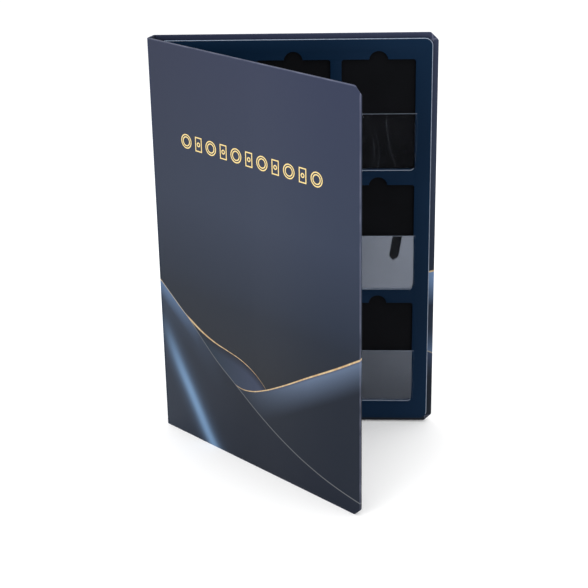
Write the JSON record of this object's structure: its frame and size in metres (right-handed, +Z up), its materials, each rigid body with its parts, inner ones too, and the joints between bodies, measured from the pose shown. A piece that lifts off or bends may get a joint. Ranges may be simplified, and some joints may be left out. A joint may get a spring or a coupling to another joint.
{
  "type": "coin card album",
  "caption": "Hard-cover album for coin cards, half open on its edges: two printed covers hinged to a narrow spine, each lined with a grid of film-fronted pockets with thumb notches.",
  "frame": {"origin": "centre of the half-open album's footprint, on the surface it stands on", "axes": "+Z up along the spine, +X along the back cover from spine to fore edge, +Y out of the back cover's outer face"},
  "size_m": [0.2206, 0.1552, 0.33],
  "materials": {
    "printed_wrap": "silk laminated",
    "greyboard": "matte",
    "lining": "matte",
    "pocket_liner": "matte",
    "pocket_frame": "satin",
    "clear_film": "clear glossy",
    "gold_foil": "polished"
  },
  "bodies": {
    "back_cover": {"back_board": "greyboard", "back_wrap": "printed_wrap", "back_lining": "lining", "back_pocket_liner": "pocket_liner", "back_pocket_frame": "pocket_frame", "back_film_row1_col1": "clear_film", "back_film_row1_col2": "clear_film", "back_film_row1_col3": "clear_film", "back_film_row2_col1": "clear_film", "back_film_row2_col2": "clear_film", "back_film_row2_col3": "clear_film", "back_film_row3_col1": "clear_film", "back_film_row3_col2": "clear_film", "back_film_row3_col3": "clear_film"},
    "spine": {"spine_board": "greyboard", "spine_wrap": "printed_wrap", "spine_lining": "lining", "back_fold_strip": "printed_wrap", "front_fold_strip": "printed_wrap"},
    "front_cover": {"front_board": "greyboard", "front_wrap": "printed_wrap", "front_lining": "lining", "front_pocket_liner": "pocket_liner", "front_pocket_frame": "pocket_frame", "front_film_row1_col1": "clear_film", "front_film_row1_col2": "clear_film", "front_film_row1_col3": "clear_film", "front_film_row2_col1": "clear_film", "front_film_row2_col2": "clear_film", "front_film_row2_col3": "clear_film", "front_film_row3_col1": "clear_film", "front_film_row3_col2": "clear_film", "front_film_row3_col3": "clear_film", "title_foil": "gold_foil"}
  },
  "joints": [
    {"name": "back_fold", "type": "hinge", "parent": "back_cover", "child": "spine", "pos_m": [-0.10667, 0.07764, 0], "axis": [0, 0, -1], "range_deg": [-21, 69], "deforming": ["back_fold_strip"]},
    {"name": "front_fold", "type": "hinge", "parent": "spine", "child": "front_cover", "pos_m": [-0.11054, 0.06756, 0], "axis": [0, 0, -1], "range_deg": [-21, 69], "deforming": ["front_fold_strip"]}
  ]
}
